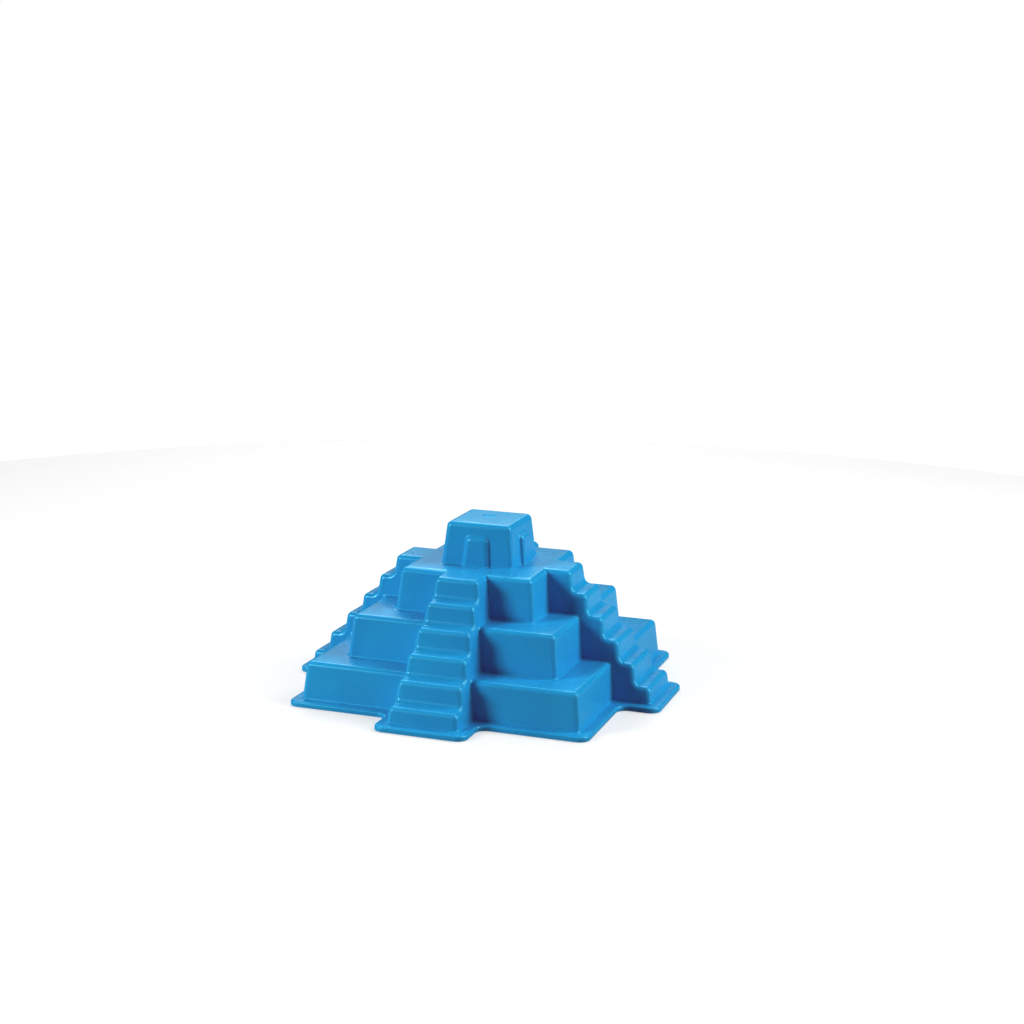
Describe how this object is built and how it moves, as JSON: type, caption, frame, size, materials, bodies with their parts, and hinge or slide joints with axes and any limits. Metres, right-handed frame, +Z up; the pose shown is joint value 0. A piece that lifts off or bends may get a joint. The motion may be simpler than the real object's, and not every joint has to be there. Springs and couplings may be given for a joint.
{
  "type": "sand mould",
  "caption": "Stepped-pyramid sand mould: a thin-walled plastic shell, open below, with three square tiers, a stair on every side, a small temple with doors on top and a flat rim.",
  "frame": {"origin": "middle of the mould's footprint, on the ground plane that the rim stands on", "axes": "+Z up through the temple's roof, -Y towards the front stair, +X towards the right stair"},
  "size_m": [0.217, 0.217, 0.096],
  "materials": {
    "blue_plastic": "satin moulded polypropylene, bright blue all through"
  },
  "bodies": {
    "root": {"rim": "blue_plastic", "lower_tier_front_left": "blue_plastic", "lower_tier_front_right": "blue_plastic", "lower_tier_back_right": "blue_plastic", "lower_tier_back_left": "blue_plastic", "middle_tier_front_left": "blue_plastic", "middle_tier_front_right": "blue_plastic", "middle_tier_back_right": "blue_plastic", "middle_tier_back_left": "blue_plastic", "upper_tier": "blue_plastic", "temple": "blue_plastic", "front_stair": "blue_plastic", "right_stair": "blue_plastic", "back_stair": "blue_plastic", "left_stair": "blue_plastic", "front_door": "blue_plastic", "right_door": "blue_plastic", "back_door": "blue_plastic", "left_door": "blue_plastic"}
  },
  "joints": []
}
